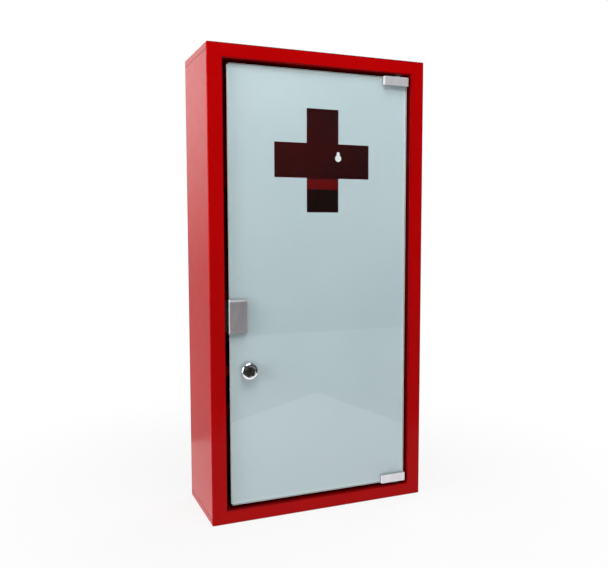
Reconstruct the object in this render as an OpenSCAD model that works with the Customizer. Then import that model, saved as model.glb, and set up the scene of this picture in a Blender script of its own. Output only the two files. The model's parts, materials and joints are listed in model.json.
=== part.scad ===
// Wall-hung first-aid cabinet: a folded sheet-steel case with three shelves, a
// back-printed glass door on two pivot hinges, a magnetic catch and a cam lock.
// Millimetres, +Z up. The origin is the centre of the back panel's outer face,
// on the wall plane. The door faces -Y, and its hinges are on the +X side.

/* [Case] */
// Outside width of the case
case_w = 300; // [240:1:420]
// Outside height of the case
case_h = 600; // [480:1:800]
// Depth of the case from the wall to its front face
case_d = 120; // [100:1:200]
// Thickness of the sheet steel
sheet_t = 1; // [0.8:0.1:1.4]
// Outside radius of the sheet's bends
bend_r = 2; // [1.6:0.1:3]
// Width of the front frame at the sides of the door opening
frame_w = 20; // [15:0.5:30]
// Width of the front frame above and below the door opening
frame_h = 18; // [15:0.5:30]
// Depth of the flange that turns in around the door opening
return_d = 16; // [15:0.5:20]
// Height of the side flanges on the top and bottom caps
cap_flange_h = 9; // [7:0.5:14]
// Width of the side walls' flanges behind the back panel
back_flange_w = 13; // [8:0.5:20]
// Length of the tabs that reach under a cap's edges
seam_tab = 11; // [6:0.5:14]
// Gap along each sheet seam
seam_gap = 0.4; // [0.2:0.1:0.8]

/* [Shelves] */
// Height from one shelf's top to the next, and from the floor to the first
shelf_pitch = 146.7; // [110:0.1:155]
// Distance from the case's front face back to the shelf edge
shelf_setback = 24; // [22:1:50]
// Height of the shelf's front lip
shelf_lip_h = 14; // [8:1:24]
// Height of the shelf's rear lip
shelf_rear_lip_h = 10; // [6:1:20]
// Gap at each end of a shelf and behind it
shelf_gap = 0.5; // [0.2:0.1:2]
// Length of a shelf bracket
bracket_len = 70; // [40:1:76]
// Width of each leg of a shelf bracket
bracket_leg = 10; // [8:1:16]

/* [Hanging holes] */
// Radius of a keyhole's round end
keyhole_r = 5; // [4:0.5:7]
// Width of a keyhole's neck
keyhole_neck_w = 5; // [4:0.5:7]
// Rise from the round end's centre to the neck's end centre
keyhole_rise = 7; // [7:0.5:14]
// Distance between the keyholes, across
keyhole_span_x = 152; // [120:1:200]
// Distance between the keyholes, up
keyhole_span_z = 357; // [300:1:440]

/* [Glass door] */
// Gap between the door glass and the opening
door_gap = 5.5; // [4:0.1:7]
// Thickness of the door glass
glass_t = 4; // [3:0.5:6]
// Depth of the glass behind the case's front face
glass_recess = 1; // [0:0.1:2]
// Radius of the glass corners
glass_corner_r = 3; // [1:0.5:8]
// Width of the ground edge on the glass
glass_arris = 0.4; // [0.2:0.1:1]
// Thickness of the printed coat on the back of the glass
print_t = 0.2; // [0.1:0.05:0.5]
// Clear border left around the printed coat
print_margin = 0.5; // [0.5:0.5:5]
// Overall size of the clear cross in the print
cross_size = 132.5; // [90:0.5:170]
// Width of the cross's arms
cross_arm_w = 44.5; // [25:0.5:60]
// Height of the cross's centre above the door's middle
cross_z = 163; // [100:1:170]
// Sideways offset of the cross from the door's middle
cross_x = 2.5; // [-5:0.5:5]

/* [Hinges] */
// Length of a hinge clip along the glass edge
clip_l = 38; // [30:1:50]
// Height of a hinge clip over the glass
clip_h = 10.5; // [10:0.5:16]
// Thickness of a hinge clip's front plate
clip_front_t = 2; // [1.5:0.1:2.5]
// Thickness of the web over the glass edge
clip_web_t = 0.8; // [0.6:0.1:1.6]
// Gap between the web and the glass edge
clip_web_gap = 0.1; // [0.1:0.1:0.6]
// Thickness of a hinge clip's block behind the glass
clip_block_t = 5.3; // [5:0.1:6.5]
// Overhang of a hinge clip past the glass's side edge
clip_overhang = 2.2; // [0:0.1:2.2]
// Radius of a hinge clip's corners
clip_r = 2.5; // [1.5:0.1:3]
// Distance from the glass's side edge in to the pivot axis
pivot_inset = 9; // [7:0.5:14]
// Radius of a pivot pin
pin_r = 2; // [1.5:0.1:2.2]
// Depth that a pivot pin is pressed into its clip
pin_seat = 8; // [5:0.5:9]
// Radial clearance between a pin and its bush
pin_clear = 0.05; // [0.02:0.01:0.1]
// Wall of the pivot bush
bush_wall = 1.45; // [1:0.05:2]
// Thickness of the bush's flange
bush_flange_t = 1.5; // [1:0.1:2]
// Length of the bush's shank
bush_shank = 4.5; // [4:0.5:8]
// Thickness of the plate that stiffens the frame at a bush
doubler_t = 2; // [1.5:0.5:3]
// Thickness of the soft pads under a clip
pad_t = 0.5; // [0.3:0.1:0.8]
// Radius of the clamping set screws
set_screw_r = 2; // [1.5:0.5:2.5]

/* [Pull clip and catch] */
// Width of the pull clip from the glass edge
pull_w = 22; // [18:0.5:36]
// Height of the pull clip
pull_h = 43; // [30:1:60]
// Height of the pull clip's centre below the door's middle
pull_drop = 34; // [20:1:60]
// Thickness of the pull clip's front plate
pull_front_t = 2.4; // [1.6:0.1:3]
// Thickness of the pull clip's web and rear leg
pull_sheet_t = 1; // [0.8:0.1:1.5]
// Height of the bevels at the front plate's ends
pull_bevel = 2.8; // [1:0.1:4]
// Thickness of the liner between the pull clip and the glass
liner_t = 0.3; // [0.2:0.1:0.6]
// Gap between the pull clip's rear leg and the catch
catch_gap = 0.3; // [0.2:0.1:1]
// Width of the catch's body
catch_w = 16; // [14:1:22]
// Height of the catch's body
catch_h = 40; // [34:1:50]
// Height of the catch's magnet
magnet_h = 22; // [16:1:24]
// Radius of the catch's screws
catch_screw_r = 1.5; // [1.2:0.1:2]

/* [Lock] */
// Distance from the glass's side edge in to the lock's axis
lock_inset = 24.5; // [24:0.5:40]
// Height of the lock's axis below the door's middle
lock_drop = 104; // [80:1:130]
// Radius of the lock's head
lock_head_r = 11; // [9.5:0.1:14]
// Projection of the lock's head in front of its washer
lock_head_t = 5.5; // [4:0.5:10]
// Rounding of the head's edge
lock_head_round = 3.6; // [1:0.1:3.8]
// Radius of the lock's threaded barrel
barrel_r = 8; // [7.5:0.1:9]
// Clearance around the barrel in the glass
barrel_clear = 0.4; // [0.2:0.1:1]
// Length of the barrel behind the glass
barrel_rear = 9; // [8:0.5:12]
// Radius of the plug that the key turns
plug_r = 6; // [5.5:0.1:6.5]
// Radial clearance around the plug
plug_clear = 0.06; // [0.03:0.01:0.1]
// Thickness of the lock's front washer
lock_washer_t = 0.5; // [0.3:0.1:1]
// Thickness of the lock's rear washer
rear_washer_t = 1; // [0.5:0.1:1.5]
// Thickness of the lock's nut
nut_t = 4; // [3:0.5:5]
// Width of the nut across its flats
nut_af = 22; // [20:1:26]
// Width of the keyway
keyway_w = 1.8; // [1.4:0.1:2.4]
// Height of the keyway
keyway_h = 8; // [6:0.5:9]
// Number of wafers in the plug
wafer_count = 5; // [3:1:6]
// Distance from one wafer to the next
wafer_pitch = 2.4; // [2:0.1:2.5]
// Thickness of a wafer
wafer_t = 0.9; // [0.6:0.1:1.2]
// Thickness of the cam
cam_t = 2; // [1.5:0.1:2.5]
// Width of the cam
cam_w = 14; // [12:0.5:16]
// Reach of the cam from the lock's axis
cam_reach = 27; // [25:0.5:28]
// Width across the plug's square end
tang_w = 7; // [6:0.5:8]
// Height of the keeper
keeper_h = 13; // [10:0.5:20]
// Reach of the keeper's lip into the opening
keeper_reach = 10.5; // [8:0.5:12]
// Thickness of the keeper
keeper_t = 1.5; // [1:0.1:2]
// Gap between the keeper and the cam behind it
keeper_gap = 0.5; // [0.3:0.1:1]
// Radius of the keeper's rivet
rivet_r = 1.5; // [1.2:0.1:2]

/* [Hidden] */
$fn = 64;
// Overshoot that lets a cutter pass cleanly through a face
cut = 1;

// Case and opening
half_w = case_w / 2;
half_h = case_h / 2;
face_y = -case_d;
rear_y = -sheet_t;
open_w = case_w - 2 * frame_w;
open_h = case_h - 2 * frame_h;
return_end_y = face_y + return_d;

// Glass, from front to back
glass_w = open_w - 2 * door_gap;
glass_h = open_h - 2 * door_gap;
glass_y0 = face_y + glass_recess;
glass_y1 = glass_y0 + glass_t;
print_y1 = glass_y1 + print_t;

// Shelves
shelf_w = case_w - 2 * (sheet_t + shelf_gap);
shelf_y0 = face_y + shelf_setback;
shelf_y1 = rear_y - sheet_t - shelf_gap;
shelf_floor = -half_h + sheet_t;
bracket_y0 = shelf_y0 + bend_r + 6;

// Hinges: each is drawn at the top and mirrored for the bottom
clip_x1 = glass_w / 2 + clip_overhang;
clip_x0 = clip_x1 - clip_l;
clip_y0 = glass_y0 - pad_t - clip_front_t;
slot_y0 = glass_y0 - pad_t;
slot_y1 = print_y1 + pad_t;
clip_y1 = slot_y1 + clip_block_t;
clip_z0 = glass_h / 2 - clip_h;
clip_z1 = glass_h / 2 + clip_web_gap + clip_web_t;
seam_x = clip_x1 - 15;
seam_w = 0.5;
seam_depth = 0.4;
plate_t = 1;
plate_x0 = clip_x0 + 3;
plate_x1 = seam_x - 1;
set_screw_xs = [clip_x0 + 8, plate_x1 - 5];
set_screw_z = (clip_z0 + glass_h / 2) / 2;
pivot_x = glass_w / 2 - pivot_inset;
pivot_y = (slot_y1 + clip_y1) / 2;
bush_r = pin_r + pin_clear + bush_wall;
bush_flange_r = bush_r + 1.5;
bush_z0 = open_h / 2 - bush_flange_t;
bush_z1 = open_h / 2 + bush_shank;
pin_z0 = clip_z1 - pin_seat;
pin_z1 = bush_z1 + 0.5;

// Pull clip and catch
pull_x0 = -glass_w / 2 - liner_t - pull_sheet_t;
pull_x1 = -glass_w / 2 + pull_w;
pull_y0 = glass_y0 - liner_t - pull_front_t;
pull_slot_y0 = glass_y0 - liner_t;
pull_slot_y1 = print_y1 + liner_t;
pull_y1 = pull_slot_y1 + pull_sheet_t;
pull_leg_x1 = -glass_w / 2 + 19;
bevel_d = pull_front_t - 0.4;
catch_x0 = -open_w / 2 + 1;
catch_x1 = catch_x0 + catch_w;
pole_y0 = pull_y1 + catch_gap;
pole_proud = 0.5;
catch_y0 = pole_y0 + pole_proud;
catch_y1 = return_end_y;
magnet_w = 7;
pole_t = 1.5;
pocket_y1 = catch_y1 - 1.2;
catch_screw_z = (catch_h + magnet_h) / 4;
catch_head_r = catch_screw_r + 1.2;
catch_head_t = 1.8;

// Lock, from front to back
lock_x = -glass_w / 2 + lock_inset;
head_y1 = glass_y0 - lock_washer_t;
head_y0 = head_y1 - lock_head_t;
nut_y0 = print_y1 + rear_washer_t;
barrel_y1 = glass_y1 + barrel_rear;
plug_y0 = head_y0 + 0.6;
plug_y1 = barrel_y1 + 1;
cam_y1 = plug_y1 + cam_t;
cam_washer_t = 0.6;
screw_r = 2;
screw_head_r = 3.6;
screw_head_t = 2.2;
wafer_w = 4;
wafer_half_h = sqrt(pow(plug_r, 2) - pow(wafer_w / 2, 2)) - 0.15;
wafer_slack = 0.1;
keyway_y1 = plug_y0 + 3 + wafer_count * wafer_pitch + 0.6;
screw_y0 = keyway_y1 + 0.8;

// Keeper that the cam turns behind
keeper_x0 = -open_w / 2;
keeper_y1 = plug_y1 - keeper_gap;
keeper_y0 = keeper_y1 - 8;
rivet_y = keeper_y0 + 3;
rivet_head_r = 2.5;
rivet_head_t = 0.8;

// A box between two opposite corners
module span_box(from, to) {
    translate(from) cube(to - from);
}

// A cylinder along Y
module y_cyl(r, y0, y1) {
    translate([0, y0, 0]) rotate([-90, 0, 0]) cylinder(r = r, h = y1 - y0);
}

// A rectangle between two corners with round corners
module round_rect(from, to, r) {
    size = to - from;
    translate(from + [r, 0]) square([size.x - 2 * r, size.y]);
    translate(from + [0, r]) square([size.x, size.y - 2 * r]);
    for (x = [from.x + r, to.x - r], y = [from.y + r, to.y - r])
        translate([x, y]) circle(r);
}

// Outlines drawn in the XY, YZ and XZ planes, carried along the third axis
module along_z(z0, z1) {
    translate([0, 0, z0]) linear_extrude(z1 - z0) children();
}
module along_x(x0, x1) {
    translate([x0, 0, 0]) rotate([90, 0, 90]) linear_extrude(x1 - x0) children();
}
module along_y(y0, y1) {
    translate([0, y1, 0]) rotate([90, 0, 0]) linear_extrude(y1 - y0) children();
}

// A box with every edge rounded
module round_box(from, to, r) {
    intersection() {
        along_z(from.z, to.z) round_rect([from.x, from.y], [to.x, to.y], r);
        along_x(from.x, to.x) round_rect([from.y, from.z], [to.y, to.z], r);
        along_y(from.y, to.y) round_rect([from.x, from.z], [to.x, to.z], r);
    }
}

// A quarter of a sheet bend, touching both axes, its centre at [bend_r, bend_r]
module bend_arc() {
    difference() {
        intersection() {
            square(bend_r);
            translate([bend_r, bend_r]) circle(bend_r);
        }
        translate([bend_r, bend_r]) circle(bend_r - sheet_t);
    }
}

// An angle of folded sheet with its outside corner at the origin
module angle_section(leg_x, leg_y) {
    bend_arc();
    translate([bend_r, 0]) square([leg_x - bend_r, sheet_t]);
    translate([0, bend_r]) square([sheet_t, leg_y - bend_r]);
}

// The closed skin that the case's sheets are cut from
module case_skin() {
    difference() {
        round_box([-half_w, face_y, -half_h], [half_w, rear_y, half_h], bend_r);
        round_box([-half_w + sheet_t, face_y + sheet_t, -half_h + sheet_t],
            [half_w - sheet_t, rear_y - sheet_t, half_h - sheet_t], bend_r - sheet_t);
    }
}

// One side of the flange that turns in around the door opening
module return_rail(length) {
    linear_extrude(length, center = true) {
        bend_arc();
        translate([0, bend_r]) square([sheet_t, return_d - bend_r]);
    }
}

module return_flange() {
    for (side = [0, 1]) {
        mirror([side, 0, 0]) translate([open_w / 2, face_y, 0])
            return_rail(open_h + 2 * bend_r);
        mirror([0, 0, side]) translate([0, face_y, open_h / 2])
            rotate([0, -90, 0]) return_rail(open_w + 2 * bend_r);
    }
}

// Joggled tabs behind the caps' edges
module seam_tabs() {
    tab_low = half_h - cap_flange_h - seam_tab / 3;
    tab_high = half_h - 2 * sheet_t - seam_gap;
    for (side = [0, 1], end = [0, 1]) mirror([side, 0, 0]) mirror([0, 0, end])
        span_box([half_w - 2 * sheet_t, face_y + 2 * bend_r, tab_low],
            [half_w - sheet_t, rear_y - 2 * bend_r, tab_high]);
    for (end = [0, 1]) mirror([0, 0, end])
        span_box([-half_w + 3 * bend_r, face_y + 0.6 * bend_r, half_h - 2 * sheet_t],
            [half_w - 3 * bend_r, face_y + seam_tab, half_h - sheet_t]);
}

// The front frame and both side walls, one folded sheet
module front_wrapper() {
    side_z = half_h - cap_flange_h - seam_gap;
    hole_w = open_w / 2 + bend_r;
    hole_h = open_h / 2 + bend_r;
    color("firebrick") difference() {
        union() {
            difference() {
                intersection() {
                    case_skin();
                    union() {
                        span_box([-half_w, face_y, -half_h], [half_w, face_y + bend_r, half_h]);
                        for (side = [0, 1]) mirror([side, 0, 0])
                            span_box([half_w - back_flange_w, face_y, -side_z],
                                [half_w, rear_y, side_z]);
                    }
                }
                span_box([-hole_w, face_y - cut, -hole_h],
                    [hole_w, face_y + bend_r + cut, hole_h]);
            }
            return_flange();
            seam_tabs();
        }
        translate([pivot_x, pivot_y, -half_h]) cylinder(r = bush_r, h = case_h);
        keeper_rivet_hole();
    }
}

module top_cap() {
    color("firebrick") intersection() {
        case_skin();
        span_box([-half_w, face_y + bend_r + seam_gap, half_h - cap_flange_h],
            [half_w, 0, half_h]);
    }
}

module bottom_cap() {
    mirror([0, 0, 1]) top_cap();
}

// A keyhole with its neck upwards
module keyhole() {
    y_cyl(keyhole_r, rear_y - cut, cut);
    translate([0, 0, keyhole_rise]) y_cyl(keyhole_neck_w / 2, rear_y - cut, cut);
    span_box([-keyhole_neck_w / 2, rear_y - cut, 0], [keyhole_neck_w / 2, cut, keyhole_rise]);
}

module back_panel() {
    color("firebrick") difference() {
        span_box([-half_w + bend_r, rear_y, -half_h + bend_r],
            [half_w - bend_r, 0, half_h - bend_r]);
        for (x = [-1, 1], z = [-1, 1])
            translate([x * keyhole_span_x / 2, 0, z * keyhole_span_z / 2]) keyhole();
    }
}

// A shelf with its front and rear edges turned down
module shelf(number) {
    depth = shelf_y1 - shelf_y0;
    color("firebrick") translate([0, shelf_y0, shelf_floor + number * shelf_pitch])
        along_x(-shelf_w / 2, shelf_w / 2) {
            mirror([0, 1]) angle_section(depth / 2, shelf_lip_h);
            translate([depth, 0]) mirror([0, 1]) mirror([1, 0])
                angle_section(depth / 2, shelf_rear_lip_h);
        }
}

module shelf_lower() { shelf(1); }
module shelf_middle() { shelf(2); }
module shelf_upper() { shelf(3); }

// Two angles under each shelf, welded to the side walls
module shelf_brackets() {
    color("firebrick") for (number = [1:3], side = [0, 1])
        mirror([side, 0, 0])
            translate([-half_w + sheet_t, 0, shelf_floor + number * shelf_pitch - sheet_t])
                along_y(bracket_y0, bracket_y0 + bracket_len)
                    mirror([0, 1]) angle_section(bracket_leg, bracket_leg);
}

// Plates that stiffen the frame's flange around the pivot bushes
module pivot_doublers() {
    color("firebrick") for (end = [0, 1]) mirror([0, 0, end]) difference() {
        span_box([pivot_x - 16, face_y + sheet_t + bend_r, open_h / 2 + sheet_t],
            [open_w / 2 - 1, return_end_y, open_h / 2 + sheet_t + doubler_t]);
        translate([pivot_x, pivot_y, open_h / 2]) cylinder(r = bush_r, h = frame_h);
    }
}

// Flanged bush pressed into the frame's flange
module pivot_bush_top() {
    color("dimgray") translate([pivot_x, pivot_y, 0]) difference() {
        union() {
            translate([0, 0, bush_z0]) cylinder(r = bush_flange_r, h = bush_flange_t);
            translate([0, 0, bush_z0]) cylinder(r = bush_r, h = bush_z1 - bush_z0);
        }
        translate([0, 0, bush_z0 - cut])
            cylinder(r = pin_r + pin_clear, h = bush_z1 - bush_z0 + 2 * cut);
    }
}

module pivot_bush_bottom() {
    mirror([0, 0, 1]) pivot_bush_top();
}

// Washer that carries the door on the lower bush
module thrust_washer() {
    color("dimgray") translate([pivot_x, pivot_y, -bush_z0]) difference() {
        cylinder(r = bush_r + 1, h = bush_z0 - clip_z1);
        translate([0, 0, -cut]) cylinder(r = pin_r + 0.2, h = bush_z0 - clip_z1 + 2 * cut);
    }
}

// Angle on the side wall that holds the catch behind the frame's flange
module catch_bracket() {
    plate_y = catch_y1;
    color("firebrick") translate([0, 0, -pull_drop]) difference() {
        along_z(-catch_h / 2, catch_h / 2)
            translate([-half_w + sheet_t, plate_y + sheet_t]) mirror([0, 1])
                angle_section(catch_x1 + half_w - sheet_t, 12);
        catch_screw_positions() y_cyl(catch_screw_r, plate_y - cut, plate_y + sheet_t + cut);
    }
}

module catch_screw_positions() {
    for (z = [-catch_screw_z, catch_screw_z])
        translate([(catch_x0 + catch_x1) / 2, 0, z]) children();
}

// Catch housing with its magnet pocket and two screw holes
module catch_body() {
    mid = (catch_x0 + catch_x1) / 2;
    half_pocket = magnet_w / 2 + pole_t;
    color("dimgray") translate([0, 0, -pull_drop]) difference() {
        along_y(catch_y0, catch_y1)
            round_rect([catch_x0, -catch_h / 2], [catch_x1, catch_h / 2], 2);
        span_box([mid - half_pocket, catch_y0 - cut, -magnet_h / 2],
            [mid + half_pocket, pocket_y1, magnet_h / 2]);
        catch_screw_positions() {
            y_cyl(catch_screw_r, catch_y0 - cut, catch_y1 + cut);
            y_cyl(catch_head_r, catch_y0 - cut, catch_y0 + catch_head_t);
        }
    }
}

module catch_magnet() {
    mid = (catch_x0 + catch_x1) / 2;
    color("gray") translate([0, 0, -pull_drop])
        span_box([mid - magnet_w / 2, pole_y0 + 1, -magnet_h / 2],
            [mid + magnet_w / 2, pocket_y1, magnet_h / 2]);
}

module catch_poles() {
    mid = (catch_x0 + catch_x1) / 2;
    color("silver") translate([0, 0, -pull_drop]) for (side = [-1, 1])
        translate([mid + side * (magnet_w + pole_t) / 2, 0, 0])
            span_box([-pole_t / 2, pole_y0, -magnet_h / 2],
                [pole_t / 2, pocket_y1, magnet_h / 2]);
}

module catch_screws() {
    color("silver") translate([0, 0, -pull_drop]) catch_screw_positions() difference() {
        union() {
            y_cyl(catch_head_r, catch_y0, catch_y0 + catch_head_t);
            y_cyl(catch_screw_r, catch_y0, catch_y1 + sheet_t + 2);
        }
        for (turn = [0, 90]) rotate([0, turn, 0])
            span_box([-0.4, catch_y0 - cut, -1.8], [0.4, catch_y0 + 1, 1.8]);
    }
}

// Angle on the frame's flange; its lip is what the cam turns behind
module lock_keeper() {
    color("firebrick") translate([0, 0, -lock_drop]) difference() {
        union() {
            span_box([keeper_x0, keeper_y0, -keeper_h / 2],
                [keeper_x0 + keeper_t, keeper_y1, keeper_h / 2]);
            along_y(keeper_y1 - keeper_t, keeper_y1)
                round_rect([keeper_x0, -keeper_h / 2],
                    [keeper_x0 + keeper_reach, keeper_h / 2], keeper_t);
        }
        translate([keeper_x0 - cut, rivet_y, 0]) rotate([0, 90, 0])
            cylinder(r = rivet_r, h = keeper_t + 2 * cut);
    }
}

module keeper_rivet_hole() {
    translate([keeper_x0 - sheet_t - cut, rivet_y, -lock_drop]) rotate([0, 90, 0])
        cylinder(r = rivet_r, h = sheet_t + 2 * cut);
}

module keeper_rivet() {
    shank_x0 = keeper_x0 - sheet_t;
    shank_x1 = keeper_x0 + keeper_t;
    color("firebrick") translate([0, rivet_y, -lock_drop]) rotate([0, 90, 0]) {
        translate([0, 0, shank_x0]) cylinder(r = rivet_r, h = shank_x1 - shank_x0);
        translate([0, 0, shank_x1]) cylinder(r = rivet_head_r, h = rivet_head_t);
        translate([0, 0, shank_x0 - rivet_head_t]) cylinder(r = rivet_head_r, h = rivet_head_t);
    }
}

// Toughened glass with ground edges and the lock's hole
module door_glass() {
    edge = glass_arris;
    far = [glass_w / 2, glass_h / 2];
    color("lightcyan", 0.5) difference() {
        union() {
            along_y(glass_y0 + edge, glass_y1 - edge) round_rect(-far, far, glass_corner_r);
            along_y(glass_y0, glass_y1)
                round_rect(-far + [edge, edge], far - [edge, edge], glass_corner_r - edge);
        }
        translate([lock_x, 0, -lock_drop])
            y_cyl(barrel_r + barrel_clear, glass_y0 - cut, glass_y1 + cut);
    }
}

module cross_outline() {
    square([cross_size, cross_arm_w], center = true);
    square([cross_arm_w, cross_size], center = true);
}

// Opaque printed coat with a clear cross
module door_print() {
    far = [glass_w / 2 - print_margin, glass_h / 2 - print_margin];
    color("aliceblue") difference() {
        along_y(glass_y1, print_y1) difference() {
            round_rect(-far, far, glass_corner_r - print_margin / 2);
            translate([cross_x, cross_z]) cross_outline();
        }
        translate([lock_x, 0, -lock_drop])
            y_cyl(barrel_r + barrel_clear, glass_y1 - cut, print_y1 + cut);
    }
}

// Cast clip over the glass edge; its block holds the pivot pin
module hinge_clip_top() {
    color("lightgray") difference() {
        intersection() {
            along_z(clip_z0, clip_z1) round_rect([clip_x0, clip_y0], [clip_x1, clip_y1], clip_r);
            along_y(clip_y0, clip_y1)
                round_rect([clip_x0, clip_z0], [clip_x1, clip_z1], clip_r / 2);
        }
        span_box([clip_x0 - cut, slot_y0, clip_z0 - cut],
            [clip_x1 + cut, slot_y1, clip_z1 - clip_web_t]);
        span_box([plate_x0, slot_y1 - cut, clip_z0 - cut],
            [plate_x1, slot_y1 + plate_t, clip_z1 - clip_web_t]);
        span_box([seam_x - seam_w / 2, clip_y0 - cut, clip_z0 - cut],
            [seam_x + seam_w / 2, clip_y0 + seam_depth, clip_z1 + cut]);
        translate([pivot_x, pivot_y, pin_z0]) cylinder(r = pin_r, h = pin_seat + cut);
        for (x = set_screw_xs) translate([x, 0, set_screw_z])
            y_cyl(set_screw_r, slot_y1, clip_y1 + cut);
    }
}

module hinge_clip_bottom() {
    mirror([0, 0, 1]) hinge_clip_top();
}

// Soft pads on both faces of the glass under each clip
module hinge_pads() {
    color("gainsboro") for (end = [0, 1]) mirror([0, 0, end]) {
        span_box([clip_x0 + 1, slot_y0, clip_z0 + 1],
            [glass_w / 2 - 1, glass_y0, glass_h / 2 - 1]);
        span_box([clip_x0 + 1, print_y1, clip_z0 + 1],
            [glass_w / 2 - 1, slot_y1, glass_h / 2 - 1]);
    }
}

// Plates that the set screws press on to the glass
module pressure_plates() {
    color("silver") for (end = [0, 1]) mirror([0, 0, end])
        span_box([plate_x0 + 0.2, slot_y1, clip_z0 + 0.6],
            [plate_x1 - 0.2, slot_y1 + plate_t, glass_h / 2 - 0.2]);
}

module hinge_set_screws() {
    screw_y = slot_y1 + plate_t;
    color("dimgray") for (end = [0, 1]) mirror([0, 0, end]) for (x = set_screw_xs)
        translate([x, 0, set_screw_z]) difference() {
            y_cyl(set_screw_r, screw_y, clip_y1 - 0.3);
            translate([0, clip_y1 - 2, 0]) rotate([-90, 0, 0])
                cylinder(r = set_screw_r * 0.55, h = 2 + cut, $fn = 6);
        }
}

module pivot_pin_top() {
    color("silver") translate([pivot_x, pivot_y, pin_z0]) {
        cylinder(r = pin_r, h = pin_z1 - pin_z0 - 0.6);
        translate([0, 0, pin_z1 - pin_z0 - 0.6]) cylinder(r1 = pin_r, r2 = pin_r - 0.6, h = 0.6);
    }
}

module pivot_pin_bottom() {
    mirror([0, 0, 1]) pivot_pin_top();
}

// Folded clip on the glass's free edge: finger pull in front, strike behind
module pull_clip() {
    color("darkgray") translate([0, 0, -pull_drop]) {
        along_x(pull_x0, pull_x1) polygon([
            [pull_slot_y0, -pull_h / 2], [pull_y0 + bevel_d, -pull_h / 2],
            [pull_y0, -pull_h / 2 + pull_bevel], [pull_y0, pull_h / 2 - pull_bevel],
            [pull_y0 + bevel_d, pull_h / 2], [pull_slot_y0, pull_h / 2]
        ]);
        span_box([pull_x0, pull_y0 + bevel_d, -pull_h / 2],
            [pull_x0 + pull_sheet_t, pull_y1, pull_h / 2]);
        span_box([pull_x0, pull_slot_y1, -pull_h / 2],
            [pull_leg_x1, pull_y1, pull_h / 2]);
    }
}

// Liner that keeps the metal off the glass
module pull_liner() {
    liner_x0 = pull_x0 + pull_sheet_t;
    inset = 0.5;
    color("gainsboro") translate([0, 0, -pull_drop]) {
        span_box([liner_x0, pull_slot_y0, -pull_h / 2 + inset],
            [pull_x1 - inset, glass_y0, pull_h / 2 - inset]);
        span_box([liner_x0, glass_y0, -pull_h / 2 + inset],
            [-glass_w / 2, pull_slot_y1, pull_h / 2 - inset]);
        span_box([liner_x0, print_y1, -pull_h / 2 + inset],
            [pull_leg_x1 - inset, pull_slot_y1, pull_h / 2 - inset]);
    }
}

// Carries a piece drawn about the Y axis to the lock's axis
module at_lock() {
    translate([lock_x, 0, -lock_drop]) children();
}

// Head and barrel, bored for the plug
module lock_housing() {
    face_recess_r = plug_r + 1;
    color("silver") at_lock() difference() {
        union() {
            intersection() {
                translate([0, head_y1, 0]) rotate([90, 0, 0]) rotate_extrude() {
                    square([lock_head_r, lock_head_t - lock_head_round]);
                    square([lock_head_r - lock_head_round, lock_head_t]);
                    translate([lock_head_r - lock_head_round, lock_head_t - lock_head_round])
                        circle(lock_head_round);
                }
                y_cyl(lock_head_r + cut, head_y0 - cut, head_y1);
            }
            y_cyl(barrel_r, head_y1 - cut, barrel_y1);
        }
        y_cyl(plug_r + plug_clear, head_y0 - cut, barrel_y1 + cut);
        y_cyl(face_recess_r, head_y0 - cut, plug_y0);
    }
}

module washer(r_out, r_in, y0, y1) {
    difference() {
        y_cyl(r_out, y0, y1);
        y_cyl(r_in, y0 - cut, y1 + cut);
    }
}

module lock_front_washer() {
    color("dimgray") at_lock()
        washer(lock_head_r - 0.6, barrel_r + 0.1, head_y1, glass_y0);
}

module lock_rear_washer() {
    color("dimgray") at_lock() washer(nut_af / 2, barrel_r + 0.1, print_y1, nut_y0);
}

module lock_nut() {
    color("silver") at_lock() difference() {
        translate([0, nut_y0, 0]) rotate([-90, 0, 0])
            cylinder(r = nut_af / 2 / cos(30), h = nut_t, $fn = 6);
        y_cyl(barrel_r, nut_y0 - cut, nut_y0 + nut_t + cut);
    }
}

// Places of the wafers along the plug
function wafer_y(i) = plug_y0 + 3 + i * wafer_pitch;

// Key plug with its keyway, wafer slots and square end
module lock_plug() {
    color("silver") at_lock() difference() {
        union() {
            y_cyl(plug_r, plug_y0, plug_y1);
            span_box([-tang_w / 2, plug_y1 - cut, -tang_w / 2], [tang_w / 2, cam_y1, tang_w / 2]);
        }
        span_box([-keyway_w / 2, plug_y0 - cut, -keyway_h / 2],
            [keyway_w / 2, keyway_y1, keyway_h / 2]);
        for (i = [0 : wafer_count - 1])
            span_box([-wafer_w / 2 - wafer_slack, wafer_y(i) - wafer_slack / 2, -plug_r - cut],
                [wafer_w / 2 + wafer_slack, wafer_y(i) + wafer_t + wafer_slack / 2, plug_r + cut]);
        y_cyl(screw_r, screw_y0, cam_y1 + cut);
    }
}

// Wafers, drawn in as the key holds them
module lock_wafers() {
    window_w = keyway_w + 0.4;
    color("gold") at_lock() for (i = [0 : wafer_count - 1]) difference() {
        span_box([-wafer_w / 2, wafer_y(i), -wafer_half_h],
            [wafer_w / 2, wafer_y(i) + wafer_t, wafer_half_h]);
        span_box([-window_w / 2, wafer_y(i) - cut, -keyway_h / 2 + 0.6],
            [window_w / 2, wafer_y(i) + wafer_t + cut, keyway_h / 2 - 0.6]);
    }
}

// Cam, pointing up when the door is free
module lock_cam() {
    color("silver") at_lock() difference() {
        union() {
            y_cyl(cam_w / 2 + 1, plug_y1, cam_y1);
            along_y(plug_y1, cam_y1) round_rect([-cam_w / 2, 0], [cam_w / 2, cam_reach], 2);
        }
        span_box([-tang_w / 2, plug_y1 - cut, -tang_w / 2],
            [tang_w / 2, cam_y1 + cut, tang_w / 2]);
    }
}

module cam_washer() {
    color("silver") at_lock() washer(screw_head_r + 1.4, screw_r, cam_y1, cam_y1 + cam_washer_t);
}

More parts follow.
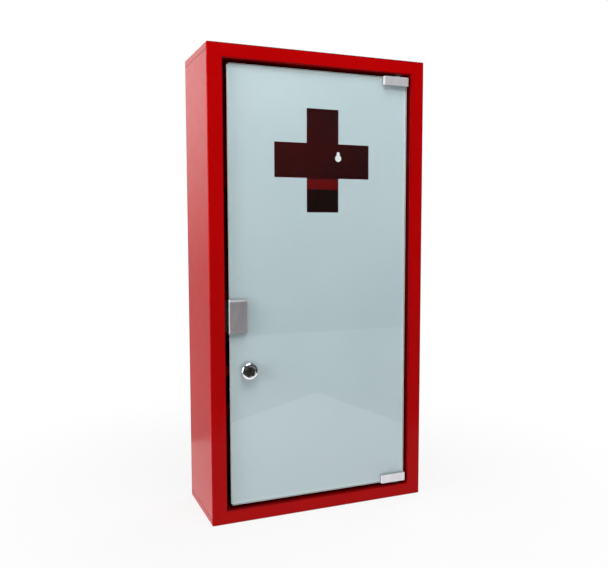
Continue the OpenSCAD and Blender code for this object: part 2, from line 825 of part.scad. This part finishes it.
module cam_screw() {
    head_y = cam_y1 + cam_washer_t;
    color("silver") at_lock() difference() {
        union() {
            y_cyl(screw_r, screw_y0, head_y + screw_head_t / 2);
            y_cyl(screw_head_r, head_y, head_y + screw_head_t);
        }
        for (turn = [0, 90]) rotate([0, turn, 0])
            span_box([-0.5, head_y + 1, -2.4], [0.5, head_y + screw_head_t + cut, 2.4]);
    }
}

front_wrapper();
top_cap();
bottom_cap();
back_panel();
shelf_lower();
shelf_middle();
shelf_upper();
shelf_brackets();
pivot_doublers();
pivot_bush_top();
pivot_bush_bottom();
thrust_washer();
catch_bracket();
catch_body();
catch_magnet();
catch_poles();
catch_screws();
lock_keeper();
keeper_rivet();
door_glass();
door_print();
hinge_clip_top();
hinge_clip_bottom();
hinge_pads();
pressure_plates();
hinge_set_screws();
pivot_pin_top();
pivot_pin_bottom();
pull_clip();
pull_liner();
lock_housing();
lock_front_washer();
lock_rear_washer();
lock_nut();
lock_plug();
lock_wafers();
lock_cam();
cam_washer();
cam_screw();
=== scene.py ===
"""The looks of a wall-hung first-aid cabinet: its finishes, soft studio light and camera."""
import json
import math

import bpy
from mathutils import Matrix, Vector


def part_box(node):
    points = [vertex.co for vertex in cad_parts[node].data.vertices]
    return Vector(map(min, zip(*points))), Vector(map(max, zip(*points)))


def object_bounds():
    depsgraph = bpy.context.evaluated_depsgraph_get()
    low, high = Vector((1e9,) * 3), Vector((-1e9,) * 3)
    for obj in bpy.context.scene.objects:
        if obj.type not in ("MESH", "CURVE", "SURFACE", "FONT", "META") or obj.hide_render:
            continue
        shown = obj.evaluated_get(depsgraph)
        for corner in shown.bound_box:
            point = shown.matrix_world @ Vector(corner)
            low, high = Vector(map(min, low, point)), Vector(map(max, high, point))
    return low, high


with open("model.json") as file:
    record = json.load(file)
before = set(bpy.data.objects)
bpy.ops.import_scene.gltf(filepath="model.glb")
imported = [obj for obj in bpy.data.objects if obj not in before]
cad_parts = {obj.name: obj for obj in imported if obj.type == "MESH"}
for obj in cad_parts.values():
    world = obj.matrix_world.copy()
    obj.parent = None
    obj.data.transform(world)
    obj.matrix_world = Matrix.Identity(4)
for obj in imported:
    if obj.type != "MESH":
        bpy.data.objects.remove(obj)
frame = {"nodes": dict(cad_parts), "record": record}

MM = 0.001
CAD_LOW, CAD_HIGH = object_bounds()
CASE_LOW, CASE_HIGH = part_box("front_wrapper")
PRINT_LOW, PRINT_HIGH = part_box("door_print")
DOOR_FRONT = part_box("door_glass")[0].y
PULL_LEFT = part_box("pull_clip")[0].x
WHITE = (1.0, 1.0, 1.0)


# ---------------------------------------------------------------- node materials

# Cosines to the nearest face: flat above the first, fully turned below the second
FLAT_COSINE = 0.995
TURNED_COSINE = 0.88
EDGE_SAMPLES = 6


class Finish:
    """A node material: its Principled shader, and short calls that add nodes to it.

    place is the position on the piece, which across, depth and height split into X, Y and Z.
    facing is the piece's own normal, so a finish doesn't change when the piece moves.
    """

    def __init__(self, name, colour, roughness, metallic=0.0, **sockets):
        self.material = bpy.data.materials.new(name)
        self.material.use_nodes = True
        self.nodes = self.material.node_tree.nodes
        self.links = self.material.node_tree.links
        self.shader = self.nodes["Principled BSDF"]
        self.feed(self.shader.inputs["Base Color"], (*colour, 1.0))
        self.feed(self.shader.inputs["Roughness"], roughness)
        self.feed(self.shader.inputs["Metallic"], metallic)
        for name_of_socket, value in sockets.items():
            self.feed(self.shader.inputs[name_of_socket.replace("_", " ")], value)
        own = self.add("ShaderNodeTexCoord").outputs
        self.place = own["Object"]
        split = self.add("ShaderNodeSeparateXYZ", {0: self.place})
        self.across, self.depth, self.height = split.outputs
        self.facing = self.add("ShaderNodeSeparateXYZ", {0: own["Normal"]}).outputs

    def feed(self, socket, value):
        if isinstance(value, bpy.types.NodeSocket):
            self.links.new(value, socket)
        else:
            socket.default_value = value

    def add(self, kind, inputs=None, **settings):
        node = self.nodes.new(kind)
        for name, value in settings.items():
            setattr(node, name, value)
        for key, value in (inputs or {}).items():
            self.feed(node.inputs[key], value)
        return node

    def noise(self, size, detail=3.0, stretch=(1, 1, 1)):
        """Noise from 0 to 1 with features of this size in metres, longer along stretched axes."""
        scale = tuple(1 / (size * s) for s in stretch)
        mapped = self.add("ShaderNodeMapping", {"Vector": self.place, "Scale": scale})
        inputs = {"Vector": mapped.outputs[0], "Scale": 1.0, "Detail": detail}
        return self.add("ShaderNodeTexNoise", inputs).outputs[0]

    def remap(self, value, low, high, to_low=0.0, to_high=1.0):
        inputs = {0: value, 1: low, 2: high, 3: to_low, 4: to_high}
        return self.add("ShaderNodeMapRange", inputs).outputs[0]

    def spread(self, noise, low=0.0, high=1.0):
        """Stretches noise, most of which lies between 0.3 and 0.7, over this range."""
        return self.remap(noise, 0.3, 0.7, low, high)

    def maths(self, operation, a, b=0.0):
        return self.add("ShaderNodeMath", {0: a, 1: b}, operation=operation).outputs[0]

    def blend(self, factor, a, b):
        """Colour a where factor is 0 and b where it is 1."""
        colours = [c if isinstance(c, bpy.types.NodeSocket) else (*c, 1.0) for c in (a, b)]
        inputs = {0: factor, 6: colours[0], 7: colours[1]}
        return self.add("ShaderNodeMix", inputs, data_type="RGBA").outputs[2]

    def edges(self, radius):
        """1 along the edges, fading to 0 over the radius."""
        bevel = self.add("ShaderNodeBevel", {"Radius": radius}, samples=EDGE_SAMPLES)
        normal = self.add("ShaderNodeNewGeometry").outputs["Normal"]
        inputs = {0: bevel.outputs[0], 1: normal}
        dot = self.add("ShaderNodeVectorMath", inputs, operation="DOT_PRODUCT").outputs["Value"]
        return self.remap(dot, TURNED_COSINE, FLAT_COSINE, 1.0, 0.0)

    def bends(self):
        """1 where the surface turns between the three main directions, 0 on flat faces."""
        sizes = [self.maths("ABSOLUTE", self.facing[axis]) for axis in "XYZ"]
        largest = self.maths("MAXIMUM", sizes[0], self.maths("MAXIMUM", sizes[1], sizes[2]))
        return self.remap(largest, FLAT_COSINE, TURNED_COSINE)

    def border(self, low, high, width):
        """1 along the outline of a box seen from the front, fading to 0 over this width."""
        nearest = None
        for place, a, b in ((self.across, low.x, high.x), (self.height, low.z, high.z)):
            from_middle = self.maths("ABSOLUTE", self.maths("SUBTRACT", place, (a + b) / 2))
            inside = self.maths("SUBTRACT", (b - a) / 2, from_middle)
            nearest = inside if nearest is None else self.maths("MINIMUM", nearest, inside)
        return self.remap(nearest, 0.0, width, 1.0, 0.0)

    def inside_case(self):
        """1 on the faces inside the case and 0 on its outside."""
        past_front = self.remap(self.depth, CASE_LOW.y + 0.8 * MM, CASE_LOW.y + 3 * MM)
        before_back = self.remap(self.depth, CASE_HIGH.y - 0.3 * MM, CASE_HIGH.y - 0.7 * MM)
        in_walls = self.remap(self.border(CASE_LOW, CASE_HIGH, 1 * MM), 0.5, 0.1)
        return self.maths("MULTIPLY", self.maths("MULTIPLY", past_front, before_back), in_walls)

    def worn(self, body, radius, amount, colour):
        """The body's colour, turned by this amount to another colour along the edges."""
        return self.blend(self.maths("MULTIPLY", self.edges(radius), amount), body, colour)

    def colour(self, socket):
        self.feed(self.shader.inputs["Base Color"], socket)

    def roughness(self, noise, low, high):
        self.feed(self.shader.inputs["Roughness"], self.spread(noise, low, high))

    def bump(self, height, depth, strength):
        inputs = {"Height": height, "Distance": depth, "Strength": strength}
        self.feed(self.shader.inputs["Normal"], self.add("ShaderNodeBump", inputs).outputs[0])


def red_powder_coat():
    """Gloss powder coat with a fine orange peel, with painted shade inside the case and over its
    edges and on its bends, apart from the bends at the case's left side."""
    f = Finish("red_powder_coat", (0.45, 0.0, 0.001), 0.2, Specular_IOR_Level=0.07)
    speck_amount, inside_shade_amount = 0.18, 0.5
    cloud = f.remap(f.noise(90 * MM), 0.35, 0.65)
    body = f.blend(cloud, (0.44, 0.0002, 0.0006), (0.48, 0.0006, 0.0012))
    speck = f.remap(f.noise(0.9 * MM, 2.0), 0.66, 0.74, 0.0, speck_amount)
    body = f.blend(speck, body, (0.30, 0.0, 0.001))
    # Painted shade: the faces inside the case are darkened halfway to black.
    body = f.blend(f.maths("MULTIPLY", f.inside_case(), inside_shade_amount), body, (0.0, 0.0, 0.0))
    # Painted shade: the edges and bends, but not the bends at the case's left side, are darkened
    # unevenly towards a deep red.
    off_left_side = f.remap(f.across, CASE_LOW.x + 3 * MM, CASE_LOW.x + 5 * MM)
    turned = f.maths("MULTIPLY", f.bends(), off_left_side)
    edge_and_bends_shade = f.maths("MAXIMUM", f.edges(1.6 * MM), turned)
    painted_edge_shade = f.maths("MULTIPLY", edge_and_bends_shade, f.remap(f.noise(7 * MM), 0.3, 0.6, 0.6, 0.95))
    f.colour(f.blend(painted_edge_shade, body, (0.12, 0.001, 0.003)))
    f.roughness(f.noise(14 * MM), 0.16, 0.25)
    f.bump(f.noise(2.4 * MM, 1.5), 0.05 * MM, 0.35)
    return f.material


def door_glass():
    """Clear glass with a faint green tint; its edge faces are ground and scatter light.

    Light for shadows goes straight through it, dimmed past the glass's own tint as painted
    shade for the case's inside, and less of it through the ground edge.
    """
    f = Finish("door_glass", (0.95, 0.99, 0.98), 0.0, Transmission_Weight=1.0, IOR=1.5)
    ground_roughness, ground_share, light_past_ground = 0.55, 0.85, 0.2
    ground = f.remap(f.maths("ABSOLUTE", f.facing["Y"]), 0.97, 0.9)
    f.feed(f.shader.inputs["Roughness"], f.maths("MULTIPLY", ground, ground_roughness))
    scatter = f.add("ShaderNodeBsdfTranslucent", {"Color": (0.90, 0.97, 0.96, 1.0)})
    matte = f.add("ShaderNodeBsdfDiffuse", {"Color": (0.88, 0.95, 0.94, 1.0)})
    frosted = f.add("ShaderNodeMixShader", {0: 0.5, 1: scatter.outputs[0], 2: matte.outputs[0]})
    frost = f.maths("MULTIPLY", ground, ground_share)
    surface = f.add("ShaderNodeMixShader", {
        0: frost, 1: f.shader.outputs[0], 2: frosted.outputs[0]})
    # Painted shade: light for shadows is dimmed well past the glass's own tint, so the case's
    # inside gets less light.
    dimmed_shadow_way = f.add("ShaderNodeBsdfTransparent", {"Color": (0.80, 0.835, 0.83, 1.0)})
    shadow_ray = f.add("ShaderNodeLightPath").outputs["Is Shadow Ray"]
    let_through = f.remap(ground, 0.0, 1.0, 1.0, light_past_ground)
    whole = f.add("ShaderNodeMixShader", {
        0: f.maths("MULTIPLY", shadow_ray, let_through),
        1: surface.outputs[0], 2: dimmed_shadow_way.outputs[0]})
    f.feed(f.nodes["Material Output"].inputs["Surface"], whole.outputs[0])
    smears = f.noise(60 * MM, 4.0)
    f.bump(smears, 0.02 * MM, 0.15)
    return f.material


def back_print():
    """Pale blue-grey printed coat, a little uneven, with painted light along its border,
    and grey behind.
    """
    f = Finish("back_print", (0.75, 0.86, 0.90), 0.5)
    tone = f.spread(f.noise(130 * MM, 2.0))
    body = f.blend(tone, (0.715, 0.805, 0.86), (0.765, 0.840, 0.885))
    grain = f.remap(f.noise(0.7 * MM, 2.0), 0.4, 0.8, 0.0, 0.12)
    body = f.blend(grain, body, (0.64, 0.76, 0.78))
    # Painted light: the print is lightened along its border, as by light coming in through the
    # glass's ground edge.
    painted_border_light = f.maths("MULTIPLY", f.border(PRINT_LOW, PRINT_HIGH, 5 * MM), 0.6)
    body = f.blend(painted_border_light, body, (0.90, 0.94, 0.94))
    rear = f.remap(f.facing["Y"], 0.4, 0.6)
    f.colour(f.blend(rear, body, (0.26, 0.28, 0.29)))
    f.roughness(f.noise(20 * MM), 0.42, 0.58)
    f.bump(f.noise(1.2 * MM, 2.0), 0.02 * MM, 0.4)
    return f.material


def satin_clip():
    """Satin plated casting: fine cast skin, brighter where its edges are rubbed."""
    f = Finish("satin_clip", (0.78, 0.77, 0.79), 0.4, metallic=0.5)
    body = f.blend(f.spread(f.noise(9 * MM)), (0.74, 0.72, 0.75), (0.84, 0.82, 0.85))
    f.colour(f.worn(body, 0.7 * MM, 0.7, (0.93, 0.91, 0.93)))
    f.roughness(f.noise(3 * MM), 0.34, 0.5)
    f.bump(f.noise(0.35 * MM, 2.0), 0.02 * MM, 0.5)
    return f.material


def brushed_pull():
    """Stainless sheet brushed up and down, with a painted highlight along the fold at its left
    edge, and painted shade where its front plate slopes away and, darkest, on what lies
    behind the door's face."""
    sheet_metallic, highlight_metallic = 0.7, 0.15
    f = Finish("brushed_pull", (0.66, 0.64, 0.66), 0.4, metallic=sheet_metallic)
    lines = f.noise(0.22 * MM, 3.0, stretch=(1, 1, 60))
    body = f.blend(f.spread(lines), (0.52, 0.495, 0.51), (0.78, 0.75, 0.78))
    patch = f.remap(f.noise(12 * MM, stretch=(1, 1, 2)), 0.35, 0.7, 0.0, 0.35)
    body = f.blend(patch, body, (0.50, 0.455, 0.49))
    # Painted shade: the sloped ends of the front plate are darkened.
    painted_slope_shade = f.remap(f.maths("ABSOLUTE", f.facing["Z"]), 0.2, 0.5)
    body = f.blend(f.maths("MULTIPLY", painted_slope_shade, 0.9), body, (0.20, 0.195, 0.20))
    # Painted highlight: a lighter, less metallic strip along the fold at the left edge.
    bend_highlight = f.remap(f.across, PULL_LEFT + 0.5 * MM, PULL_LEFT + 1.5 * MM, 1.0, 0.0)
    body = f.blend(bend_highlight, body, (0.82, 0.81, 0.78))
    # Painted shade: what lies behind the door's face, in the gap, is made nearly black.
    behind = f.remap(f.depth, DOOR_FRONT - 0.4 * MM, DOOR_FRONT + 0.4 * MM)
    f.colour(f.blend(f.maths("MULTIPLY", behind, 0.9), body, (0.02, 0.02, 0.02)))
    f.feed(f.shader.inputs["Metallic"], f.remap(bend_highlight, 0.0, 1.0, sheet_metallic, highlight_metallic))
    f.roughness(lines, 0.28, 0.46)
    f.bump(lines, 0.02 * MM, 0.5)
    return f.material


def lock_chrome():
    """Bright chrome with faint smudges, worn duller along its edges."""
    f = Finish("lock_chrome", (0.84, 0.84, 0.85), 0.06, metallic=1.0)
    haze = f.noise(4 * MM, 4.0)
    body = f.blend(f.remap(haze, 0.35, 0.75), (0.86, 0.86, 0.87), (0.76, 0.76, 0.77))
    f.colour(f.worn(body, 0.4 * MM, 0.45, (0.62, 0.61, 0.60)))
    f.roughness(haze, 0.04, 0.16)
    f.bump(f.noise(1.5 * MM, 2.0), 0.01 * MM, 0.3)
    return f.material


def zinc_plate():
    """Bright zinc: bluish, with a soft spangle."""
    f = Finish("zinc_plate", (0.60, 0.62, 0.66), 0.32, metallic=1.0)
    spangle = f.noise(2.5 * MM, 3.0)
    body = f.blend(f.remap(spangle, 0.35, 0.65), (0.52, 0.54, 0.58), (0.68, 0.69, 0.72))
    f.colour(f.worn(body, 0.35 * MM, 0.6, (0.80, 0.80, 0.81)))
    f.roughness(spangle, 0.24, 0.42)
    f.bump(f.noise(0.5 * MM, 2.0), 0.015 * MM, 0.4)
    return f.material


def black_screw():
    """Blackened steel, rubbed bright at the corners."""
    f = Finish("black_screw", (0.05, 0.05, 0.055), 0.4, metallic=0.9)
    body = f.blend(f.spread(f.noise(1.5 * MM)), (0.035, 0.035, 0.04), (0.08, 0.078, 0.08))
    f.colour(f.worn(body, 0.2 * MM, 0.5, (0.30, 0.30, 0.30)))
    f.roughness(f.noise(0.8 * MM), 0.32, 0.5)
    f.bump(f.noise(0.3 * MM), 0.01 * MM, 0.4)
    return f.material


def wafer_brass():
    """Stamped brass with faint tarnish."""
    f = Finish("wafer_brass", (0.80, 0.58, 0.26), 0.3, metallic=1.0)
    f.colour(f.blend(f.spread(f.noise(1.5 * MM)), (0.82, 0.61, 0.28), (0.66, 0.46, 0.20)))
    f.roughness(f.noise(0.8 * MM), 0.24, 0.42)
    f.bump(f.noise(0.3 * MM), 0.01 * MM, 0.3)
    return f.material


def moulded(name, tones, roughness, grain, depth, edge=None):
    """Plastic, rubber or ferrite between two tones, with a skin of fine grain this deep."""
    f = Finish(name, tones[0], roughness[0])
    body = f.blend(f.spread(f.noise(8 * MM)), *tones)
    f.colour(body if edge is None else f.worn(body, 0.4 * MM, 0.5, edge))
    f.roughness(f.noise(2 * MM), *roughness)
    f.bump(f.noise(grain, 2.0), depth, 0.5)
    return f.material


def black_plastic():
    return moulded("black_plastic", tones=((0.020, 0.020, 0.021), (0.034, 0.034, 0.036)),
                   roughness=(0.36, 0.52), grain=0.4 * MM, depth=0.03 * MM,
                   edge=(0.07, 0.07, 0.07))


def magnet_ferrite():
    return moulded("magnet_ferrite", tones=((0.055, 0.055, 0.06), (0.10, 0.10, 0.11)),
                   roughness=(0.55, 0.75), grain=0.3 * MM, depth=0.03 * MM,
                   edge=(0.16, 0.16, 0.16))


def soft_pad():
    return moulded("soft_pad", tones=((0.56, 0.59, 0.59), (0.66, 0.68, 0.68)),
                   roughness=(0.35, 0.5), grain=0.6 * MM, depth=0.02 * MM)


def black_rubber():
    return moulded("black_rubber", tones=((0.018, 0.018, 0.018), (0.035, 0.035, 0.035)),
                   roughness=(0.6, 0.8), grain=0.4 * MM, depth=0.03 * MM)


MAKERS = {maker.__name__: maker for maker in (
    red_powder_coat, door_glass, back_print, satin_clip, brushed_pull, lock_chrome, zinc_plate,
    black_screw, wafer_brass, black_plastic, magnet_ferrite, soft_pad, black_rubber)}


def dress_nodes():
    """Gives every CAD node the finish of its slot."""
    finishes = {slot["slot"]: MAKERS[slot["slot"]]() for slot in frame["record"]["materials"]}
    for part in frame["record"]["subparts"]:
        for slot in frame["nodes"][part["node"]].material_slots:
            slot.material = finishes[part["material_slot"]]


# ---------------------------------------------------------------- edges of the CAD nodes

# How far each node's sharp edges are rounded, in mm
EDGE_WIDTH = {
    "front_wrapper": 0.2, "top_cap": 0.2, "bottom_cap": 0.2, "back_panel": 0.2,
    "shelf_lower": 0.25, "shelf_middle": 0.25, "shelf_upper": 0.25, "shelf_brackets": 0.2,
    "pivot_doublers": 0.2, "pivot_bush_top": 0.15, "pivot_bush_bottom": 0.15,
    "thrust_washer": 0.12, "catch_bracket": 0.2, "catch_body": 0.3, "catch_magnet": 0.15,
    "catch_poles": 0.15, "catch_screws": 0.15, "lock_keeper": 0.25, "keeper_rivet": 0.2,
    "hinge_clip_top": 0.25, "hinge_clip_bottom": 0.25, "pressure_plates": 0.12,
    "hinge_set_screws": 0.1, "pivot_pin_top": 0.12, "pivot_pin_bottom": 0.12,
    "pull_clip": 0.5, "lock_nut": 0.3, "lock_plug": 0.1, "lock_cam": 0.25,
    "lock_housing": 0.15, "cam_washer": 0.1, "cam_screw": 0.12,
}
EDGE_SEGMENTS = 2
WELD_DISTANCE = 0.002 * MM
FLAT_ANGLE = math.radians(0.5)
SHARP_ANGLE = math.radians(35)
PRINT_GAP = 0.02 * MM


def clean_normals_group():
    """A geometry node group that drops the imported normals and shades every face smooth."""
    group = bpy.data.node_groups.new("clean_normals", "GeometryNodeTree")
    group.interface.new_socket("Geometry", in_out="INPUT", socket_type="NodeSocketGeometry")
    group.interface.new_socket("Geometry", in_out="OUTPUT", socket_type="NodeSocketGeometry")
    first = group.nodes.new("NodeGroupInput")
    last = group.nodes.new("NodeGroupOutput")
    drop = group.nodes.new("GeometryNodeRemoveAttribute")
    drop.inputs["Name"].default_value = "custom_normal"
    smooth = group.nodes.new("GeometryNodeSetShadeSmooth")
    group.links.new(first.outputs[0], drop.inputs[0])
    group.links.new(drop.outputs[0], smooth.inputs[0])
    group.links.new(smooth.outputs[0], last.inputs[0])
    return group


def soften_edges(piece, width, clean_normals):
    """Rounds the sharp edges by this width in mm, and leaves flat faces flat."""
    weld = piece.modifiers.new("weld", "WELD")
    weld.merge_threshold = WELD_DISTANCE
    clean = piece.modifiers.new("clean_normals", "NODES")
    clean.node_group = clean_normals
    flatten = piece.modifiers.new("flatten", "DECIMATE")
    flatten.decimate_type = "DISSOLVE"
    flatten.angle_limit = FLAT_ANGLE
    bevel = piece.modifiers.new("bevel", "BEVEL")
    bevel.width = width * MM
    bevel.segments = EDGE_SEGMENTS
    bevel.limit_method = "ANGLE"
    bevel.angle_limit = SHARP_ANGLE
    bevel.use_clamp_overlap = True
    weighted = piece.modifiers.new("weighted_normals", "WEIGHTED_NORMAL")
    weighted.keep_sharp = True


def soften_nodes():
    clean_normals = clean_normals_group()
    for name, width in EDGE_WIDTH.items():
        soften_edges(frame["nodes"][name], width, clean_normals)


def part_print_from_glass():
    """Draws the print in by a hair, so that its face and the glass's don't coincide."""
    gap = frame["nodes"]["door_print"].modifiers.new("gap", "DISPLACE")
    gap.strength = -PRINT_GAP
    gap.mid_level = 0.0


# ---------------------------------------------------------------- stage

# The point on the case's front that the camera and the lights face
AIM = Vector((1.75 * MM, CASE_LOW.y, 0.0))
CAMERA_AZIMUTH = math.radians(-23.04)
CAMERA_ELEVATION = math.radians(4.89)
CAMERA_DISTANCE = 0.937
CAMERA_LENS = 42.34
CAMERA_SHIFT = (-0.0316, 0.0043)


def outward(azimuth, elevation, distance):
    """The offset from the aim, in front of the door at azimuth 0."""
    flat = distance * math.cos(elevation)
    return Vector((flat * math.sin(azimuth), -flat * math.cos(azimuth),
                   distance * math.sin(elevation)))


def look_from(piece, place, target):
    piece.location = place
    piece.rotation_euler = (target - place).to_track_quat("-Z", "Y").to_euler()


def add_camera():
    camera = bpy.data.objects.new("camera", bpy.data.cameras.new("camera"))
    bpy.context.scene.collection.objects.link(camera)
    camera.data.lens = CAMERA_LENS
    camera.data.shift_x, camera.data.shift_y = CAMERA_SHIFT
    look_from(camera, AIM + outward(CAMERA_AZIMUTH, CAMERA_ELEVATION, CAMERA_DISTANCE), AIM)
    bpy.context.scene.camera = camera


def add_softbox(name, azimuth, elevation, distance, size, watts, mirrored=True):
    """A rectangular area light that faces the cabinet, with its angles in degrees."""
    light = bpy.data.objects.new(name, bpy.data.lights.new(name, "AREA"))
    bpy.context.scene.collection.objects.link(light)
    light.data.shape = "RECTANGLE"
    light.data.size, light.data.size_y = size
    light.data.energy = watts
    light.visible_glossy = mirrored
    spot = AIM + outward(math.radians(azimuth), math.radians(elevation), distance)
    look_from(light, spot, AIM)


def glow_material(name):
    """A material that gives off white light."""
    material = bpy.data.materials.new(name)
    material.use_nodes = True
    nodes = material.node_tree.nodes
    nodes.remove(nodes["Principled BSDF"])
    glow = nodes.new("ShaderNodeEmission")
    glow.inputs["Color"].default_value = (*WHITE, 1.0)
    glow.inputs["Strength"].default_value = 1.0
    material.node_tree.links.new(glow.outputs[0], nodes["Material Output"].inputs["Surface"])
    return material


def graded_card_material(name, axis, span, strengths):
    """A white glow that changes along one axis from the first strength to the second."""
    material = glow_material(name)
    nodes, links = material.node_tree.nodes, material.node_tree.links
    place = nodes.new("ShaderNodeTexCoord")
    split = nodes.new("ShaderNodeSeparateXYZ")
    grade = nodes.new("ShaderNodeMapRange")
    grade.interpolation_type = "SMOOTHSTEP"
    for socket, value in zip(("From Min", "From Max", "To Min", "To Max"), (*span, *strengths)):
        grade.inputs[socket].default_value = value
    links.new(place.outputs["Object"], split.inputs[0])
    links.new(split.outputs[axis], grade.inputs["Value"])
    links.new(grade.outputs[0], nodes["Emission"].inputs["Strength"])
    return material


def add_card(name, corners, axis, span, strengths, mirrored=True):
    """A glowing studio card that shows only through the glass and, if mirrored, in
    reflections."""
    mesh = bpy.data.meshes.new(name)
    mesh.from_pydata(corners, [], [range(len(corners))])
    card = bpy.data.objects.new(name, mesh)
    bpy.context.scene.collection.objects.link(card)
    mesh.materials.append(graded_card_material(name, axis, span, strengths))
    card.visible_camera = False
    card.visible_diffuse = False
    card.visible_shadow = False
    card.visible_glossy = mirrored


def upright(left, right, y, low, high):
    """The corners of a rectangle that stands across the room at this y."""
    return [(left, y, low), (right, y, low), (right, y, high), (left, y, high)]


def add_floor():
    """A round pale floor that fades into the white backdrop."""
    radius, steps = 6.0, 96
    fade_from, fade_to, least_glow = 0.2, 0.7, 0.82
    ring = [(radius * math.cos(a), radius * math.sin(a), CAD_LOW.z)
            for a in (2 * math.pi * i / steps for i in range(steps))]
    mesh = bpy.data.meshes.new("floor")
    mesh.from_pydata(ring, [], [range(steps)])
    floor = bpy.data.objects.new("floor", mesh)
    bpy.context.scene.collection.objects.link(floor)
    material = glow_material("floor")
    nodes, links = material.node_tree.nodes, material.node_tree.links
    paper = nodes.new("ShaderNodeBsdfDiffuse")
    paper.inputs["Color"].default_value = (0.93, 0.93, 0.93, 1.0)
    place = nodes.new("ShaderNodeTexCoord")
    length = nodes.new("ShaderNodeVectorMath")
    length.operation = "LENGTH"
    fade = nodes.new("ShaderNodeMapRange")
    fade.interpolation_type = "SMOOTHSTEP"
    fade.inputs["From Min"].default_value = fade_from
    fade.inputs["From Max"].default_value = fade_to
    fade.inputs["To Min"].default_value = least_glow
    mix = nodes.new("ShaderNodeMixShader")
    links.new(place.outputs["Object"], length.inputs[0])
    links.new(length.outputs["Value"], fade.inputs["Value"])
    links.new(fade.outputs[0], mix.inputs[0])
    links.new(paper.outputs[0], mix.inputs[1])
    links.new(nodes["Emission"].outputs[0], mix.inputs[2])
    links.new(mix.outputs[0], nodes["Material Output"].inputs["Surface"])
    mesh.materials.append(material)
    floor.visible_glossy = False


def add_world():
    """White where the camera looks, and dim for the light that it gives."""
    world = bpy.data.worlds.new("studio")
    world.use_nodes = True
    nodes, links = world.node_tree.nodes, world.node_tree.links
    dim = nodes["Background"]
    dim.inputs["Color"].default_value = (0.9, 0.95, 1.0, 1.0)
    dim.inputs["Strength"].default_value = 0.12
    white = nodes.new("ShaderNodeBackground")
    white.inputs["Color"].default_value = (*WHITE, 1.0)
    mix = nodes.new("ShaderNodeMixShader")
    path = nodes.new("ShaderNodeLightPath")
    links.new(path.outputs["Is Camera Ray"], mix.inputs[0])
    links.new(dim.outputs[0], mix.inputs[1])
    links.new(white.outputs[0], mix.inputs[2])
    links.new(mix.outputs[0], nodes["World Output"].inputs["Surface"])
    bpy.context.scene.world = world


def add_lights():
    add_softbox("key_light", azimuth=-10, elevation=61, distance=1.12, size=(0.8, 0.6),
                watts=6.9)
    add_softbox("side_light", azimuth=-83, elevation=8, distance=1.8, size=(1.0, 1.4),
                watts=23)
    add_softbox("rear_light", azimuth=130, elevation=15, distance=1.8, size=(1.0, 1.0),
                watts=16, mirrored=False)


def add_cards():
    """Cards behind and in front of the cabinet, and a tabletop under it."""
    back, front, under = 0.7, -1.6, CAD_LOW.z - 1 * MM
    tabletop = [(-0.8, -0.02, under), (0.255, -0.75, under), (0.42, 0.25, under),
                (-0.8, 0.25, under)]
    add_card("back_card", upright(-3.0, -0.2, back, -0.6, 2.5),
             axis="Z", span=(-0.1, 0.45), strengths=(0.55, 1.6))
    add_card("wall_card", upright(-0.2, 1.6, back, -0.6, 1.2),
             axis="Z", span=(-0.1, 0.45), strengths=(0.7, 0.9), mirrored=False)
    add_card("front_card", upright(-1.2, 1.6, front, -0.6, 1.6),
             axis="Z", span=(-0.4, 0.8), strengths=(0.03, 0.10))
    add_card("table_card", tabletop,
             axis="Y", span=(-0.12, 0.05), strengths=(1.15, 1.05))


bpy.context.scene.view_settings.view_transform = "Standard"
dress_nodes()
soften_nodes()
part_print_from_glass()
add_camera()
add_world()
add_floor()
add_lights()
add_cards()
